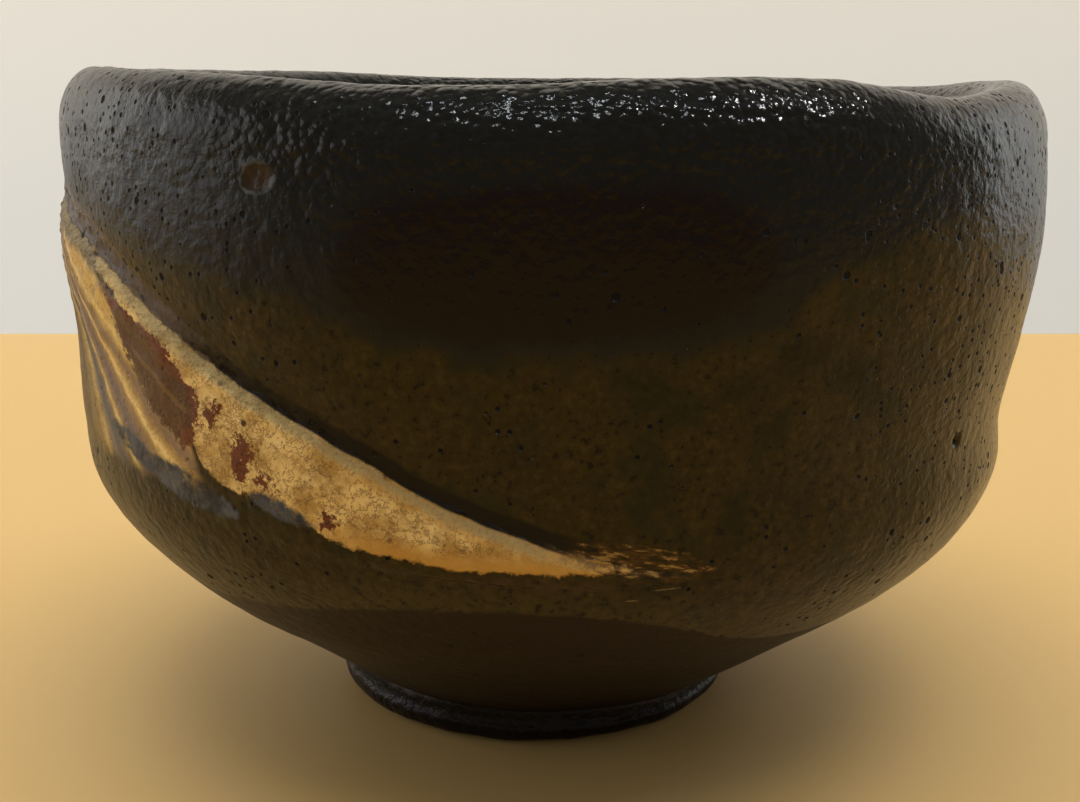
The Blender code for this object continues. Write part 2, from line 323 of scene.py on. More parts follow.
def lip_rows(angles):
    turns = math.pi * np.arange(1, ROWS_ON_LIP + 1)[:, None] / ROWS_ON_LIP
    rim = round_curve(angles, RIM_HEIGHTS)
    drop = np.where(turns < math.pi / 2, LIP_OUTER_DROP, LIP_INNER_DROP)
    crown_radius = wall_radius(angles, rim - LIP_OUTER_DROP) - LIP_HALF_WIDTH
    return placed(
        angles,
        crown_radius + LIP_HALF_WIDTH * np.cos(turns),
        rim - drop * (1 - np.sin(turns)),
    )


def inside_rows(angles):
    """The inside, from the lip's inner edge down to the pool, as one smooth curve in each direction."""
    lip_edge = lip_rows(angles)[-1]
    edge_radius = np.linalg.norm(lip_edge[:, :2], axis=1)
    at = np.linspace(0, len(INSIDE_OUTLINE), INSIDE_ROWS + 1)
    rings = []
    for share in at:
        knots = np.arange(len(INSIDE_OUTLINE) + 1)
        radius = inside_curve(share, knots, edge_radius, 0)
        height = inside_curve(share, knots, lip_edge[:, 2], 1)
        rings.append(placed(angles, radius, height))
    return np.array(rings)


def inside_curve(share, knots, at_edge, which):
    """Reads the inside outline at a share, where its first value differs round the bowl."""
    values = [ring[which] for ring in INSIDE_OUTLINE]
    low = smooth_curve(share, list(zip(knots, [at_edge.min(), *values])))
    high = smooth_curve(share, list(zip(knots, [at_edge.max(), *values])))
    span = max(at_edge.max() - at_edge.min(), 1e-9)
    return low + (high - low) * (at_edge - at_edge.min()) / span


def normals_of(grid):
    """Outward directions of a grid of points whose columns go all the way round."""
    along_rows = np.gradient(grid, axis=0)
    along_columns = np.roll(grid, -1, axis=1) - np.roll(grid, 1, axis=1)
    normals = np.cross(along_columns, along_rows)
    return normals / np.maximum(np.linalg.norm(normals, axis=-1, keepdims=True), 1e-12)


# ---------------- meshes


def sheet(name, front, back, cells, wraps=True, capped=False):
    """A closed sheet with a fine front and a coarse hidden back.

    cells marks which coarse squares it has. It gives back its mesh, and the number of each point in the mesh
    among all the front's points followed by all the back's.
    """
    step = BACK_STEP
    rows, columns = front.shape[:2]
    front_at = np.arange(rows * columns).reshape(rows, columns)
    back_at = rows * columns + np.arange(back.shape[0] * back.shape[1]).reshape(back.shape[:2])
    if wraps:
        front_at = np.concatenate([front_at, front_at[:, :1]], axis=1)
        back_at = np.concatenate([back_at, back_at[:, :1]], axis=1)
    fine = np.repeat(np.repeat(cells, step, axis=0), step, axis=1)
    i, j = np.nonzero(fine)
    shown = [front_at[i, j], front_at[i, j + 1], front_at[i + 1, j + 1], front_at[i + 1, j]]
    faces = np.stack(shown, axis=1).tolist()
    i, j = np.nonzero(cells)
    hidden = [back_at[i, j], back_at[i + 1, j], back_at[i + 1, j + 1], back_at[i, j + 1]]
    faces += np.stack(hidden, axis=1).tolist()
    faces += walls(cells, front_at, back_at, wraps)
    if capped:
        faces.append(front_at[-1, : columns].tolist())
        faces.append(back_at[-1, : back.shape[1]][::-1].tolist())
    points = np.concatenate([front.reshape(-1, 3), back.reshape(-1, 3)])
    used, inverse = np.unique(np.concatenate([np.asarray(f) for f in faces]), return_inverse=True)
    lengths = [len(face) for face in faces]
    packed = np.split(inverse, np.cumsum(lengths)[:-1])
    mesh = bpy.data.meshes.new(name)
    mesh.from_pydata(points[used], [], [face.tolist() for face in packed])
    mesh.update()
    return mesh, used


def walls(cells, front_at, back_at, wraps):
    """The faces that join the front to the back along every border of the marked squares."""
    step = BACK_STEP
    rows, columns = cells.shape
    made = []
    for i, j in zip(*np.nonzero(cells)):
        top, side = i + 1, j + 1
        low, high = i * step, top * step
        near, far = j * step, side * step
        right = (side % columns) if wraps else side
        left = (j - 1) % columns if wraps else j - 1
        low_edge, high_edge = front_at[low, near : far + 1], front_at[high, near : far + 1]
        near_edge, far_edge = front_at[low : high + 1, near], front_at[low : high + 1, far]
        sides = (
            (i > 0 and cells[i - 1, j], low_edge, back_at[i, j], back_at[i, side]),
            (right < columns and cells[i, right], far_edge, back_at[i, side], back_at[top, side]),
            (top < rows and cells[top, j], high_edge[::-1], back_at[top, side], back_at[top, j]),
            (left >= 0 and cells[i, left], near_edge[::-1], back_at[top, j], back_at[i, j]),
        )
        for joined, edge, start, end in sides:
            if not joined:
                made.append([*edge[::-1].tolist(), int(start), int(end)])
    return made


def finished(name, mesh, material, node):
    """Shades the mesh, gives it its material and lets it stand for its CAD node."""
    mesh.shade_smooth()
    mesh.set_sharp_from_angle(angle=SHARP_ANGLE)
    mesh.materials.append(material)
    piece = bpy.data.objects.new(name, mesh)
    bpy.context.scene.collection.objects.link(piece)
    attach(piece, "root")
    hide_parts(node)


def add_fields(mesh, used, fields):
    """Stores fields, one value for each front point, on the mesh. Hidden points get zero."""
    for name, values in fields.items():
        flat = np.zeros(used.max() + 1, np.float32)
        flat[: values.size] = values.reshape(-1)
        attribute = mesh.attributes.new(name, "FLOAT", "POINT")
        attribute.data.foreach_set("value", flat[used])


# ---------------- relief


def spot_distance(grid, angle, height, radius, squash=1.0):
    """Distance from a point of the wall. A squash above 1 makes spots of one distance wider than tall."""
    centre = np.array([radius * math.cos(angle), radius * math.sin(angle), height])
    return np.linalg.norm((grid - centre) * (1.0, 1.0, squash), axis=-1)


def scar_distance(grid):
    return spot_distance(grid, SCAR_ANGLE, SCAR_HEIGHT, SCAR_WALL_RADIUS, SCAR_SQUASH)


def wall_relief(grid, angles):
    """How far the glaze stands above the smooth wall. It fades out at the lip's inner edge."""
    heights = grid[..., 2]
    upper = smoothstep(0.045, 0.065, heights)
    relief = 0.30 * MM * noise(grid, 24 * MM, 21)
    relief += 0.10 * MM * noise(grid, 9 * MM, 22)
    relief += (0.035 + 0.015 * upper) * MM * noise(grid, 2.6 * MM, 23)
    relief += (0.025 + 0.020 * upper) * MM * noise(grid, 1.4 * MM, 24)
    scar = scar_distance(grid) + 0.35 * MM * noise(grid, 1.6 * MM, 25)
    relief -= SCAR_DEPTH * (1 - smoothstep(0.6 * SCAR_RADIUS, SCAR_RADIUS, scar))
    upper_right = (heights - SCAR_HEIGHT) / MM + (arc_mm(angles) - SCAR_ARC) / 2
    raised_side = 0.5 + 0.5 * np.tanh(upper_right)
    from_rim = (scar - 1.08 * SCAR_RADIUS) / SCAR_RIM_WIDTH
    relief += SCAR_RIM_HEIGHT * raised_side * np.exp(-(from_rim**2))
    pit = spot_distance(grid, PIT_ANGLE, PIT_HEIGHT, PIT_WALL_RADIUS)
    relief -= PIT_DEPTH * (1 - smoothstep(0.2 * PIT_RADIUS, PIT_RADIUS, pit))
    last = len(grid) - 1
    return relief * smoothstep(last, last - ROWS_ON_LIP / 4, np.arange(len(grid)))[:, None]


def facet_relief(grid, angles, below):
    """The proud ridge under the slash, its grit, and the flutes that fan out at the facet's left end."""
    strength = slash_strength(angles)
    rise = smoothstep(0, CREST_RISE, below) * np.exp(-below / CREST_FADE)
    ridge = CREST_HEIGHT * crest_strength(angles) * rise * (1 + 0.25 * noise(grid, 3 * MM, 31))
    grit = (0.09 * noise(grid, 0.9 * MM, 32) + 0.10 * noise(grid, 1.7 * MM, 33)) * MM
    rough = np.exp(-((below - CREST_RISE) / (2.5 * MM)) ** 2) + 0.35
    fold = fan_relief(grid, angles)
    return ridge + (grit * rough + fold) * strength


def fan_relief(grid, angles):
    """Shallow folds that spread from the facet's upper left."""
    heights = grid[..., 2] / MM
    arc = np.broadcast_to(arc_mm(angles), heights.shape)
    turn = np.degrees(np.arctan2(arc - FAN_ARC, FAN_HEIGHT - heights))
    turn = turn + 2.0 * noise(grid, 9 * MM, 34)
    fold = noise(np.stack([turn, 0 * turn, 0 * turn], axis=-1), 5.0, 35)
    inside = smoothstep(-32, -40, arc) * smoothstep(36, 42, heights)
    return 0.35 * MM * fold * inside


# ---------------- shader helpers


# The numbers of the X and Z axes.
ACROSS, HEIGHT = 0, 2


class Shader:
    """Builds one material's nodes with short calls."""

    def __init__(self, name):
        self.material = bpy.data.materials.new(name)
        self.material.use_nodes = True
        self.tree = self.material.node_tree
        self.surface = self.tree.nodes["Principled BSDF"]
        self.place = self.node("TexCoord", {}).outputs["Object"]

    def put(self, socket, value):
        if isinstance(value, bpy.types.NodeSocket):
            self.tree.links.new(value, socket)
        elif isinstance(value, tuple) and len(value) == 3 and socket.type == "RGBA":
            socket.default_value = (*value, 1.0)
        else:
            socket.default_value = value

    def node(self, kind, inputs, **settings):
        """A new node with its settings, and with its inputs by number or by name."""
        made = self.tree.nodes.new("ShaderNode" + kind)
        for name, value in settings.items():
            setattr(made, name, value)
        for key, value in inputs.items():
            self.put(made.inputs[key], value)
        return made

    def field(self, name):
        return self.node("Attribute", {}, attribute_name=name).outputs["Fac"]

    def math(self, operation, first, second=0.0):
        return self.node("Math", {0: first, 1: second}, operation=operation).outputs[0]

    def times(self, first, second):
        return self.math("MULTIPLY", first, second)

    def divided(self, first, second):
        return self.math("DIVIDE", first, second)

    def power(self, first, second):
        return self.math("POWER", first, second)

    def plus(self, first, second):
        return self.math("ADD", first, second)

    def minus(self, first, second):
        return self.math("SUBTRACT", first, second)

    def larger(self, first, second):
        return self.math("MAXIMUM", first, second)

    def absolute(self, value):
        return self.math("ABSOLUTE", value)

    def centred(self, value):
        """Noise from 0 to 1, moved to lie from -0.5 to 0.5."""
        return self.minus(value, 0.5)

    def scaled_place(self, stretch=(1.0, 1.0, 1.0)):
        """The place on the object in millimetres, squeezed along each axis."""
        scale = tuple(side / MM for side in stretch)
        return self.node("VectorMath", {0: self.place, 1: scale}, operation="MULTIPLY").outputs[0]

    def place_along(self, axis):
        """The place along one axis, in millimetres. Along Z it is the height above the table."""
        return self.node("SeparateXYZ", {0: self.scaled_place()}).outputs[axis]

    def noise(self, size, detail=2.0, stretch=(1.0, 1.0, 1.0), shift=0.0, rough=0.5):
        """Noise from 0 to 1 with lumps of the size given, in millimetres."""
        inputs = {"W": shift, "Scale": 1.0 / size, "Detail": detail, "Roughness": rough}
        inputs["Vector"] = self.scaled_place(stretch)
        return self.node("TexNoise", inputs, noise_dimensions="4D").outputs["Fac"]

    def flat_noise(self, first, second, detail, shift):
        """Noise laid out along two numbers."""
        joined = self.node("CombineXYZ", {0: first, 1: second, 2: shift}).outputs[0]
        inputs = {"Vector": joined, "Scale": 1.0, "Detail": detail, "Roughness": 0.65}
        return self.node("TexNoise", inputs).outputs["Fac"]

    def line_noise(self, value, scale):
        """Noise from 0 to 1 that depends on one number only."""
        inputs = {"W": value, "Scale": scale, "Detail": 2.0}
        return self.node("TexNoise", inputs, noise_dimensions="1D").outputs["Fac"]

    def cells(self, size):
        """Distance to the nearest of many scattered points, and a random value for each of them."""
        node = self.node("TexVoronoi", {"Vector": self.scaled_place(), "Scale": 1.0 / size})
        return node.outputs["Distance"], self.node("SeparateColor", {0: node.outputs["Color"]}).outputs[0]

    def step(self, value, low, high, first=0.0, last=1.0):
        """A smooth step from first, at low, to last, at high. low may be the larger of the two."""
        if low > high:
            low, high, first, last = high, low, last, first
        inputs = {"Value": value, "From Min": low, "From Max": high, "To Min": first, "To Max": last}
        return self.node("MapRange", inputs, interpolation_type="SMOOTHSTEP").outputs["Result"]

    def ramp(self, value, stops):
        """Colours laid out along value, from (place, colour) stops."""
        first, last = stops[0][0], stops[-1][0]
        share = self.node("MapRange", {"Value": value, "From Min": first, "From Max": last})
        node = self.node("ValToRGB", {0: share.outputs["Result"]})
        marks = node.color_ramp.elements
        for number, (place, colour) in enumerate(stops):
            at = (place - first) / (last - first)
            mark = marks[0] if number == 0 else marks[-1] if number == len(stops) - 1 else marks.new(at)
            mark.position = at
            mark.color = (*colour, 1.0)
        return node.outputs[0]

    def mix(self, share, first, second):
        return self.node("Mix", {6: first, 7: second, "Factor": share}, data_type="RGBA").outputs[2]

    def blend(self, share, first, second):
        """The same as mix, for plain numbers."""
        return self.node("Mix", {2: first, 3: second, "Factor": share}, data_type="FLOAT").outputs[0]

    def bump(self, height, distance):
        node = self.node("Bump", {"Height": height, "Distance": distance})
        self.tree.links.new(node.outputs[0], self.surface.inputs["Normal"])

    def finish(self, colour, roughness):
        self.put(self.surface.inputs["Base Color"], colour)
        self.put(self.surface.inputs["Roughness"], roughness)
        return self.material


# ---------------- materials


# How steeply the tail's strokes fall, and the glazes' specular level.
TAIL_SLOPE = -0.19
GLAZE_SPECULAR = 0.17
# The reddish patch in the black glaze, in millimetres.
REDDISH_HEIGHT = 63.0
REDDISH_HALF_WIDTH = 20.0
REDDISH_HALF_HEIGHT = 7.5
# The fan's colours, by direction in degrees from straight down.
FAN_COLOURS = (
    (20.0, (0.15, 0.1, 0.038)), (29.0, (0.25, 0.17, 0.058)), (31.0, (0.54, 0.375, 0.125)),
    (33.5, (0.16, 0.13, 0.1)), (38.0, (0.08, 0.088, 0.104)), (40.2, (0.28, 0.19, 0.076)),
    (41.4, (0.78, 0.57, 0.22)), (43.0, (0.31, 0.205, 0.092)), (45.5, (0.17, 0.122, 0.108)),
    (49.0, (0.34, 0.215, 0.078)), (50.6, (0.84, 0.62, 0.25)), (52.5, (0.44, 0.28, 0.082)),
    (54.5, (0.17, 0.108, 0.086)), (56.5, (0.49, 0.32, 0.095)), (58.5, (0.78, 0.57, 0.21)),
    (62.0, (0.59, 0.38, 0.105)), (70.0, (0.68, 0.47, 0.155)),
)


class WallShader(Shader):
    """The wall's material, with the fields and noises that several of its layers share."""

    def __init__(self, name):
        super().__init__(name)
        self.wide = self.noise(14, 3, shift=1.0)
        self.middle = self.noise(4, 3, shift=2.0)
        self.fine = self.noise(0.8, 3, shift=3.0, rough=0.65)
        self.grain = self.noise(0.4, 4, shift=6.0, rough=0.75)
        self.cloud = self.noise(3.2, 4, shift=7.0, rough=0.6)
        self.ragged = self.centred(self.noise(1.6, 5, shift=5.0, rough=0.7))
        self.wander = self.centred(self.middle)
        self.edge = self.plus(self.times(self.ragged, 2.4), self.times(self.wander, 1.6))
        self.arc = self.field("arc")
        self.below = self.field("below")
        self.cut = self.step(self.field("strength"), 0.05, 0.35)
        self.dense = self.field("pinholes")
        over_olive = self.plus(self.field("over_olive"), self.times(self.wander, 5.0))
        self.over_olive = self.plus(over_olive, self.times(self.centred(self.fine), 2.5))
        self.turn = self.plus(self.field("under_turn"), self.wander)
        self.under_turn = self.step(self.turn, -0.25, 0.25)
        fan_turn = self.plus(self.field("fan"), self.times(self.wander, 3.0))
        self.fan_turn = self.plus(fan_turn, self.times(self.ragged, 2.2))
        self.thin_lines = self.line_noise(self.fan_turn, 0.45)

    def ragged_field(self, name, share=1.0):
        """A field whose edges wander and fray."""
        return self.plus(self.field(name), self.times(self.edge, share))

    def streak_noise(self, along_size, across_size, shift):
        """Noise in strokes that lie along the slash, or across it where across_size is the longer."""
        along = self.divided(self.field("along"), along_size)
        return self.flat_noise(along, self.divided(self.below, across_size), 3.0, shift)

    def slanting_noise(self, long, short, slope, shift):
        """Noise in strokes along the wall, falling by slope."""
        across = self.minus(self.place_along(HEIGHT), self.times(self.arc, slope))
        return self.flat_noise(self.divided(self.arc, long), self.divided(across, short), 4.0, shift)


def dark_colours(s):
    """Black at the rim with a reddish patch in front; olive below, partly a painted reflection of the warm
    floor; and darker brown where the wall turns under, which is painted shade from the shadowed floor it
    faces.
    """
    black = s.mix(s.fine, (0.003, 0.0036, 0.0035), (0.011, 0.0115, 0.0105))
    # The olive is partly the glaze's own colour and partly a painted reflection of the warm floor.
    streaks = s.noise(2.2, 3, (1.0, 1.0, 0.3), shift=4.0)
    olive = s.mix(streaks, (0.015, 0.009, 0.0006), (0.033, 0.022, 0.0022))
    olive = s.mix(s.step(s.fine, 0.5, 0.62, last=0.6), olive, (0.044, 0.029, 0.006))
    olive = s.mix(s.step(s.fine, 0.44, 0.34), olive, (0.004, 0.0026, 0.0004))
    olive = s.mix(s.step(s.middle, 0.48, 0.66, last=0.7), olive, (0.009, 0.0095, 0.0016))
    olive = s.mix(s.step(s.wide, 0.52, 0.66, last=0.65), olive, (0.005, 0.0036, 0.0005))
    black_share = s.step(s.over_olive, -1.4, 1.2)
    colour = s.mix(black_share, olive, black)

    uneven = s.plus(s.times(s.wide, 5.0), s.times(s.middle, 3.0))
    level = s.plus(s.place_along(HEIGHT), s.minus(uneven, 4.0))
    sideways = s.power(s.absolute(s.divided(s.arc, REDDISH_HALF_WIDTH)), 3.0)
    upwards = s.power(s.divided(s.minus(level, REDDISH_HEIGHT), REDDISH_HALF_HEIGHT), 2.0)
    patch = s.times(s.step(s.plus(sideways, upwards), 1.3, 0.6), s.field("front"))
    reddish = s.mix(s.fine, (0.004, 0.0014, 0.0008), (0.0068, 0.0026, 0.0014))
    colour = s.mix(s.times(patch, black_share), colour, reddish)

    pale_band = s.times(s.step(s.turn, -6.0, -0.6), s.step(s.fine, 0.36, 0.56, last=0.6))
    colour = s.mix(pale_band, colour, (0.048, 0.035, 0.007))
    # Darker brown under the turning line: painted shade, the reflection of the shadowed floor near the foot.
    brown = s.mix(s.fine, (0.007, 0.0024, 0.0002), (0.015, 0.007, 0.0006))
    return s.mix(s.under_turn, colour, brown)


def pinholes(s):
    """Small and large holes, more of them where the pinholes field is higher."""
    small, small_lot = s.cells(1.05)
    large, large_lot = s.cells(2.6)
    small_chosen = s.step(s.minus(s.dense, small_lot), 0.0, 0.02)
    large_chosen = s.step(s.minus(s.times(s.dense, 0.9), large_lot), 0.0, 0.02)
    small_hole = s.times(s.step(small, 0.27, 0.17), small_chosen)
    return s.larger(small_hole, s.times(s.step(large, 0.19, 0.12), large_chosen))


def dark_roughness(s, hole):
    """Glossiest at the rim, softer at the left, and dull in the pinholes and under the turn."""
    rough = s.plus(s.blend(s.wide, 0.11, 0.19), s.times(s.dense, 0.14))
    rough = s.plus(rough, s.times(s.step(s.arc, -8.0, -26.0, last=0.13), s.field("front")))
    rough = s.plus(rough, s.step(s.over_olive, 1.0, -2.0, last=0.03))
    rough = s.times(rough, s.step(s.place_along(HEIGHT), 66.0, 74.0, first=1.0, last=0.7))
    rough = s.blend(hole, rough, 0.8)
    return s.blend(s.under_turn, rough, 0.4)


def dark_relief(s, hole):
    """Ripples and grains, with rounded pebbles that are strongest at the rim, and the pinholes."""
    ripples = s.times(s.noise(1.2, 2, shift=8.0), 0.8)
    raised = s.plus(ripples, s.times(s.fine, s.blend(s.dense, 0.25, 0.7)))
    pebble, _ = s.cells(1.0)
    rim = s.times(s.step(s.place_along(HEIGHT), 68.0, 74.0), s.step(s.dense, 0.45, 0.15))
    raised = s.minus(raised, s.times(s.step(pebble, 0.05, 0.85), s.blend(rim, 0.13, 0.55)))
    return s.minus(raised, s.times(hole, 1.3))


def paint_scar(s, colour):
    """The brown scar at the upper left, with a pale and broken rim."""
    wobble = s.centred(s.noise(1.3, 2, shift=9.0))
    scar = s.plus(s.field("scar"), s.times(wobble, 0.9))
    brown = s.mix(s.fine, (0.014, 0.008, 0.005), (0.042, 0.026, 0.016))
    colour = s.mix(s.step(scar, 0.95, 0.75), colour, brown)
    rim = s.times(s.step(scar, 0.85, 1.0), s.step(scar, 1.22, 1.08))
    rim = s.times(rim, s.step(s.middle, 0.4, 0.6, last=0.8))
    return s.mix(rim, colour, (0.085, 0.092, 0.075))


def paint_smear(s, colour):
    """A brown smear under the facet's tip."""
    streaks = s.step(s.streak_noise(3.0, 0.7, shift=2.0), 0.4, 0.62)
    smear = s.times(s.step(s.ragged_field("smear", 0.8), 0.0, 1.0), streaks)
    return s.mix(smear, colour, s.mix(s.fine, (0.024, 0.013, 0.006), (0.07, 0.042, 0.02)))


def paint_fan(s, colour):
    """Streaks that fan out from the facet's upper left."""
    fan = s.ramp(s.fan_turn, FAN_COLOURS)
    fan = s.mix(s.step(s.cloud, 0.5, 0.64, last=0.35), fan, (0.16, 0.098, 0.036))
    fan = s.mix(s.step(s.thin_lines, 0.56, 0.7, last=0.3), fan, (0.42, 0.28, 0.09))
    fan = s.mix(s.step(s.grain, 0.5, 0.62, last=0.35), fan, (0.08, 0.048, 0.02))
    share = s.step(s.ragged_field("fan_zone"), 0.0, 2.2)
    return s.mix(share, colour, fan), share


def paint_cream(s, colour):
    """Cream with cloudy patches, scratches and specks, more orange towards its tip and its edges."""
    cream = s.mix(s.step(s.cloud, 0.36, 0.6), (0.44, 0.27, 0.074), (0.82, 0.6, 0.24))
    scratch = s.absolute(s.centred(s.noise(1.5, 4, shift=10.0, rough=0.75)))
    cream = s.mix(s.step(scratch, 0.034, 0.0, last=0.8), cream, (0.17, 0.08, 0.026))
    cream = s.mix(s.step(s.grain, 0.54, 0.66, last=0.6), cream, (0.26, 0.15, 0.045))
    cream = s.mix(s.step(s.grain, 0.42, 0.32, last=0.8), cream, (0.88, 0.72, 0.38))
    speck, lot = s.cells(2.3)
    dot = s.times(s.step(speck, 0.22, 0.1), s.step(lot, 0.3, 0.24))
    cream = s.mix(dot, cream, (0.06, 0.022, 0.01))
    orange = s.times(s.step(s.ragged_field("cream", 0.6), 2.6, 0.6), s.step(s.arc, -32.0, -14.0))
    cream = s.mix(orange, cream, s.mix(s.cloud, (0.46, 0.23, 0.04), (0.62, 0.37, 0.085)))
    share = s.step(s.ragged_field("cream"), -0.1, 0.3)
    return s.mix(share, colour, cream), share


def paint_slate(s, colour):
    """Slate blue patches along the facet's lower edge."""
    slate = s.mix(s.step(s.cloud, 0.36, 0.64), (0.012, 0.017, 0.028), (0.078, 0.084, 0.098))
    slate = s.mix(s.step(s.grain, 0.56, 0.7, last=0.6), slate, (0.13, 0.11, 0.085))
    mottled = s.step(s.plus(s.fine, s.cloud), 0.72, 1.05, first=0.55)
    share = s.times(s.step(s.ragged_field("slate", 0.9), -0.1, 0.6), mottled)
    return s.mix(share, colour, slate)


def paint_rust(s, colour):
    """The rust wedge and spots, with feathered edges, browner inside and crossed by thin veins."""
    burr = s.centred(s.noise(0.8, 4, shift=12.0, rough=0.75))
    feather = s.plus(s.times(s.ragged, 4.2), s.times(burr, 5.0))
    share = s.step(s.plus(s.field("rust"), feather), 0.0, 0.35)
    share = s.times(share, s.step(s.plus(s.field("rust_left"), feather), -1.0, 1.0))
    inner = s.plus(s.field("rust_right"), s.times(s.centred(s.cloud), 9.0))
    rust = s.mix(s.step(inner, 0.8, 2.6), (0.15, 0.04, 0.012), (0.1, 0.046, 0.013))
    rust = s.mix(s.step(s.grain, 0.48, 0.64), rust, (0.045, 0.018, 0.008))
    veins = s.times(s.step(s.thin_lines, 0.6, 0.68, last=0.5), s.step(s.field("rust"), 1.0, 3.0))
    rust = s.mix(veins, rust, (0.2, 0.12, 0.03))
    return s.mix(share, colour, rust), share


def paint_crest(s, colour):
    """The gritty crest under the slash, greyer than the cream."""
    needles = s.streak_noise(0.35, 0.9, shift=1.0)
    top = s.step(s.plus(s.below, s.times(s.ragged, 1.6)), 0.0, 0.3)
    bottom = s.step(s.plus(s.below, s.times(s.centred(needles), 3.4)), 1.8, 0.0)
    crest = s.times(s.times(top, bottom), s.times(s.step(s.arc, 3.0, -4.0), s.cut))
    grit = s.mix(s.step(s.arc, -26.0, -50.0), (0.5, 0.38, 0.18), (0.54, 0.43, 0.24))
    grit = s.mix(s.step(s.grain, 0.52, 0.64, last=0.7), grit, (0.25, 0.175, 0.08))
    grit = s.mix(s.step(s.grain, 0.4, 0.3), grit, (0.68, 0.58, 0.36))
    gaps = s.times(s.step(needles, 0.55, 0.66, last=0.8), s.step(s.noise(1.3, 3, shift=13.0), 0.46, 0.6))
    grit = s.mix(gaps, grit, (0.085, 0.058, 0.028))
    return s.mix(s.times(crest, 0.75), colour, grit), crest


def paint_trough(s, colour):
    """Over the slash: smooth purple grey at the left, and a glossy black band along the trough to its right,
    partly dark glaze in the groove and partly painted shade.
    """
    above = s.minus(0.0, s.below)
    wavy = s.plus(above, s.times(s.wander, 0.8))
    trough = s.times(s.step(wavy, -0.2, 0.1), s.cut)
    grey = s.times(s.times(trough, s.step(wavy, 2.7, 1.9)), s.step(s.arc, -33.0, -42.0, last=0.85))
    colour = s.mix(grey, colour, s.mix(s.fine, (0.055, 0.04, 0.036), (0.11, 0.085, 0.072)))
    rim = s.times(s.step(above, 2.0, 2.5), s.step(above, 3.4, 2.7))
    rim = s.times(s.times(rim, s.cut), s.step(s.arc, -38.0, -48.0, last=0.6))
    colour = s.mix(rim, colour, (0.13, 0.08, 0.03))
    # The band along the trough is partly dark glaze in the groove and partly painted shade.
    band = s.times(s.times(trough, s.step(wavy, 2.2, 1.5)), s.step(s.arc, -42.0, -33.0))
    band = s.times(band, s.step(s.arc, 8.0, -2.0))
    return s.mix(band, colour, (0.0045, 0.0026, 0.0012)), band


def paint_tail(s, colour):
    """Brown and gold strokes that run on past the facet's tip, and a few thin dashes below them."""
    stroke = s.slanting_noise(2.0, 0.55, TAIL_SLOPE, shift=4.0)
    tail = s.step(s.plus(s.field("tail"), s.times(s.ragged, 3.0)), 0.0, 0.9)
    brown = s.mix(s.fine, (0.04, 0.017, 0.003), (0.11, 0.052, 0.01))
    colour = s.mix(s.times(tail, s.step(stroke, 0.42, 0.52, last=0.75)), colour, brown)
    gold = s.mix(s.fine, (0.15, 0.08, 0.017), (0.4, 0.26, 0.08))
    colour = s.mix(s.times(tail, s.step(stroke, 0.54, 0.61)), colour, gold)
    dash = s.step(s.plus(s.field("dashes"), s.times(s.ragged, 0.4)), -0.05, 0.1, last=0.8)
    return s.mix(dash, colour, (0.22, 0.16, 0.08))


def wall_glaze(name):
    """The outside's dark glaze, with the cream, rust and slate glazes of the facet over it."""
    s = WallShader(name)
    hole = pinholes(s)
    # Near black in the pinholes: painted shade inside the holes.
    colour = s.mix(hole, dark_colours(s), (0.0008, 0.0006, 0.0004))
    colour = paint_scar(s, colour)
    colour = paint_smear(s, colour)
    colour, fan_share = paint_fan(s, colour)
    colour, cream_share = paint_cream(s, colour)
    colour = paint_slate(s, colour)
    colour, rust_share = paint_rust(s, colour)
    colour, crest = paint_crest(s, colour)
    colour, band = paint_trough(s, colour)
    colour = paint_tail(s, colour)

    pale = s.larger(s.larger(cream_share, crest), s.times(fan_share, 0.6))
    rough = s.blend(pale, dark_roughness(s, hole), 0.55)
    rough = s.blend(rust_share, rough, 0.42)
    rough = s.blend(band, rough, 0.16)
    facet_raised = s.plus(s.times(s.grain, 0.9), s.times(s.cloud, 1.2))
    facet_raised = s.plus(facet_raised, s.times(s.times(s.grain, crest), 1.2))
    s.bump(s.blend(pale, dark_relief(s, hole), facet_raised), 0.00022)
    s.surface.inputs["Specular IOR Level"].default_value = GLAZE_SPECULAR
    return s.finish(colour, rough)


def inside_glaze():
    s = Shader("inside_black_glaze")
    wide = s.noise(11, 3, shift=1.0)
    fine = s.noise(1.3, 2, shift=2.0)
    colour = s.mix(wide, (0.008, 0.008, 0.0085), (0.017, 0.015, 0.0125))
    s.bump(s.plus(s.times(fine, 0.4), wide), 0.00012)
    return s.finish(colour, s.blend(wide, 0.1, 0.18))


def bare_clay(name, pale, deep):
    s = Shader(name)
    wide = s.noise(6, 4, shift=1.0)
    grain = s.noise(0.5, 3, shift=2.0, rough=0.7)
    colour = s.mix(wide, pale, deep)
    colour = s.mix(s.step(grain, 0.6, 0.72), colour, tuple(0.45 * c for c in deep))
    s.bump(s.plus(grain, wide), 0.0002)
    return s.finish(colour, s.blend(grain, 0.7, 0.9))


